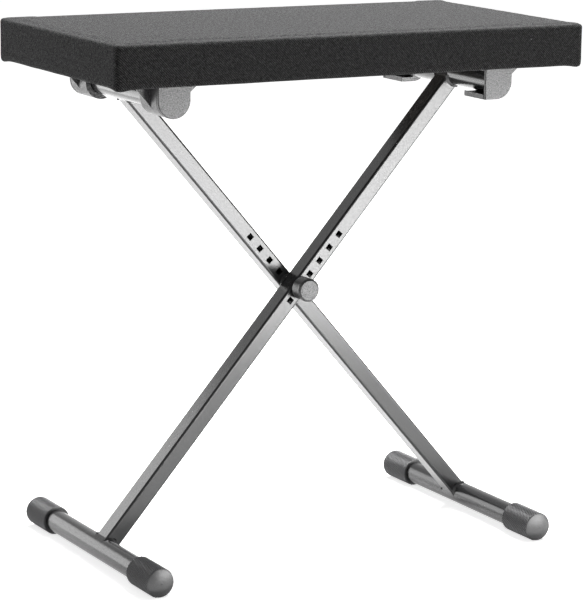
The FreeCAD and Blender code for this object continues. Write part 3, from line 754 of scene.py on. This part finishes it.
def refine(cover):
    """Subdivide, cut the window of the hem, sew the corners and gather the low edge."""
    data = cover.data
    mesh = bmesh.new()
    mesh.from_mesh(data)
    bmesh.ops.subdivide_edges(mesh, edges=mesh.edges[:], cuts=1, use_grid_fill=True,
                              smooth=SMOOTHING)
    half = (seat_high - seat_low) / 2
    window = [f for f in mesh.faces
              if f.calc_center_median().z < seat_low.z + UNDERSIDE_SLACK
              and abs(f.calc_center_median().x - seat_middle.x) < half.x - HEM
              and abs(f.calc_center_median().y - seat_middle.y) < half.y - HEM]
    bmesh.ops.delete(mesh, geom=window, context="FACES")
    # Lines just inside the top edges keep the top flat right up to them
    for axis, distance in ((0, half.x), (1, half.y), (2, half.z)):
        for sign in ((-1, 1) if axis < 2 else (1,)):
            normal = Vector((0, 0, 0))
            normal[axis] = sign
            bmesh.ops.bisect_plane(
                mesh, geom=mesh.verts[:] + mesh.edges[:] + mesh.faces[:],
                plane_co=seat_middle + normal * (distance - EDGE_LINE), plane_no=normal)
    mesh.normal_update()
    for side_x in (-1, 1):
        for side_y in (-1, 1):
            sew_corner(mesh, side_x, side_y, half)
    bmesh.ops.remove_doubles(mesh, verts=mesh.verts[:], dist=MERGE_DISTANCE)
    bmesh.ops.dissolve_degenerate(mesh, edges=mesh.edges[:], dist=MERGE_DISTANCE / 2)
    # The gathered cloth hangs a little lower at the corners and wavers along the sides
    for vert in mesh.verts:
        low = max(0, 1 - (vert.co.z - seat_low.z) / LOW_BAND)
        dx = half.x - abs(vert.co.x - seat_middle.x)
        dy = half.y - abs(vert.co.y - seat_middle.y)
        if low > 0 and min(dx, dy) < SIDE_BAND:
            gather = math.exp(-(math.hypot(dx, dy) / GATHER_SPREAD) ** 2)
            waver = noise.noise(Vector((
                vert.co.x * WAVER_PITCH, vert.co.y * WAVER_PITCH, WAVER_LEVEL)))
            vert.co.z -= low * (GATHER_DROP * gather + WAVER_DROP * waver)
    mesh.to_mesh(data)
    mesh.free()
    for polygon in data.polygons:
        polygon.use_smooth = True
    return cover


cover = refine(cover)
print("cover after refining:", len(cover.data.polygons), "faces")

# %% Lay the weave flat on every side
TOP_FAVOUR = 1.05  # a rounded top edge takes the top's weave a little sooner


def lay_weave(piece):
    """A UV map in metres, projected along whichever axis each face looks."""
    data = piece.data
    layer = data.uv_layers.get("weave") or data.uv_layers.new(name="weave")
    flat = np.empty(len(data.loops) * 2)
    for polygon in data.polygons:
        n = polygon.normal
        strengths = (abs(n.x), abs(n.y), abs(n.z) * TOP_FAVOUR)
        axis = strengths.index(max(strengths))
        for index in polygon.loop_indices:
            p = data.vertices[data.loops[index].vertex_index].co
            if axis == 0:
                u, v = -math.copysign(1, n.x) * p.y, p.z
            elif axis == 1:
                u, v = -math.copysign(1, n.y) * p.x, p.z
            else:
                u, v = p.x, p.y
            flat[index * 2], flat[index * 2 + 1] = u, v
    layer.data.foreach_set("uv", flat)


lay_weave(cover)
cover.data.materials.append(cover_cloth)
thickness = cover.modifiers.new("cloth_thickness", "SOLIDIFY")
thickness.thickness = CLOTH_THICKNESS
thickness.offset = -1
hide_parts("seat_cover", "seat_foam")
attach(cover, "seat")
print("cover laid and dressed")

# %% [markdown]
# ## Studio
#
# A pale floor runs far behind the bench. The camera and the lacquer see it, and the space
# above it, as white: a glow that only they see is added to the floor's own lit colour, which
# keeps the soft shadow under the bench. Every other ray finds a darker floor, so that little
# light comes back up on the sides of the seat.

# %% Floor
FLOOR_LIT, FLOOR_BOUNCE, FLOOR_GLOW = 0.80, 0.35, 0.74
FLOOR_HALF, FLOOR_DROP = 30, 0.0002


def pale_floor():
    material = bpy.data.materials.new("pale_floor")
    material.use_nodes = True
    tree = material.node_tree
    tree.nodes.clear()
    lit = add(tree, "BsdfDiffuse")
    lit.inputs["Color"].default_value = (FLOOR_LIT, FLOOR_LIT, FLOOR_LIT, 1)
    bounce = add(tree, "BsdfDiffuse")
    bounce.inputs["Color"].default_value = (FLOOR_BOUNCE, FLOOR_BOUNCE, FLOOR_BOUNCE, 1)
    glow = add(tree, "Emission", color=(1, 1, 1, 1), strength=FLOOR_GLOW)
    path = add(tree, "LightPath")
    seen = maths(tree, "MAXIMUM", path.outputs["Is Camera Ray"],
                 path.outputs["Is Glossy Ray"], clamp=True)
    both = add(tree, "AddShader")
    either = add(tree, "MixShader")
    output = add(tree, "OutputMaterial")
    join(tree,
         (lit.outputs[0], both.inputs[0]),
         (glow.outputs[0], both.inputs[1]),
         (seen, either.inputs["Fac"]),
         (bounce.outputs[0], either.inputs[1]),
         (both.outputs[0], either.inputs[2]),
         (either.outputs[0], output.inputs["Surface"]))
    return material


floor_mesh = bmesh.new()
bmesh.ops.create_grid(floor_mesh, x_segments=2, y_segments=2, size=FLOOR_HALF)
floor_data = bpy.data.meshes.new("studio_floor")
floor_mesh.to_mesh(floor_data)
floor_mesh.free()
floor = bpy.data.objects.new("studio_floor", floor_data)
floor.location.z = -FLOOR_DROP
bpy.context.scene.collection.objects.link(floor)
floor_data.materials.append(pale_floor())
print("floor: %.0f m across" % (floor.dimensions.x))

# %% [markdown]
# The air round the bench is white to the camera. To the lacquer it is white near the
# horizon and darker overhead, as a studio is, which draws the dark line along the upper side
# of the floor bars.

# %% Air
AIR_DIM, FADE_FROM, FADE_TO = 0.35, 0.40, 0.62

world = bpy.data.worlds.new("studio_air")
bpy.context.scene.world = world
world.use_nodes = True
air = world.node_tree
air.nodes.clear()
dim = add(air, "Background", color=(1, 1, 1, 1), strength=AIR_DIM)
white = add(air, "Background", color=(1, 1, 1, 1), strength=1.0)
mirrored = add(air, "Background", strength=1.0)
air_place = add(air, "TexCoord")
air_axes = add(air, "SeparateXYZ")
air_fade = add(air, "MapRange", from_min=FADE_FROM, from_max=FADE_TO,
               to_min=1.0, to_max=AIR_DIM)
air_path = add(air, "LightPath")
glossy_mix = add(air, "MixShader")
camera_mix = add(air, "MixShader")
air_out = add(air, "OutputWorld")
join(air,
     (air_place.outputs["Generated"], air_axes.inputs[0]),
     (air_axes.outputs["Z"], air_fade.inputs["Value"]),
     (air_fade.outputs["Result"], mirrored.inputs["Color"]),
     (air_path.outputs["Is Glossy Ray"], glossy_mix.inputs["Fac"]),
     (dim.outputs[0], glossy_mix.inputs[1]),
     (mirrored.outputs[0], glossy_mix.inputs[2]),
     (air_path.outputs["Is Camera Ray"], camera_mix.inputs["Fac"]),
     (glossy_mix.outputs[0], camera_mix.inputs[1]),
     (white.outputs[0], camera_mix.inputs[2]),
     (camera_mix.outputs[0], air_out.inputs["Surface"]))
print("air:", world.name)

# %% [markdown]
# Four soft lamps light the bench. One hangs over the seat. One stands low in front, on the
# right, where the front faces of the legs mirror it: bright at the top, fading downwards. A
# flat one on the floor in front of it brightens their lower ends. One stands low behind, on
# the left, and gives the floor bars their long streaks.

# %% Lamps
def softbox(name, spot, toward, width, height, brightness):
    """A rectangular lamp of even brightness that faces along a direction."""
    lamp = bpy.data.lights.new(name, "AREA")
    lamp.shape = "RECTANGLE"
    lamp.size, lamp.size_y = width, height
    lamp.energy = brightness * math.pi * width * height
    holder = bpy.data.objects.new(name, lamp)
    holder.matrix_world = Matrix.Translation(spot) @ Vector(toward).to_track_quat(
        "-Z", "Y").to_matrix().to_4x4()
    holder.visible_camera = False
    bpy.context.scene.collection.objects.link(holder)
    return holder


softbox("overhead_softbox", (0.6, 0.5, 2.2), (-0.28, -0.22, -1), 1.6, 1.6, 15.0)
front = softbox("front_softbox", (0.55, -1.0, 0.225), (-0.478, 0.855, 0), 1.05, 0.44, 16.0)
rear = softbox("rear_softbox", (-0.80, 1.25, 0.40), (0.5, -0.85, 0), 0.95, 0.8, 3.0)
low = softbox("floor_glow", (0.25, -0.62, 0.003), (0, 0, 1), 1.2, 0.9, 2.2)
for lamp in (front, rear, low):  # seen in reflections only, so the cloth stays dark
    lamp.visible_diffuse = False
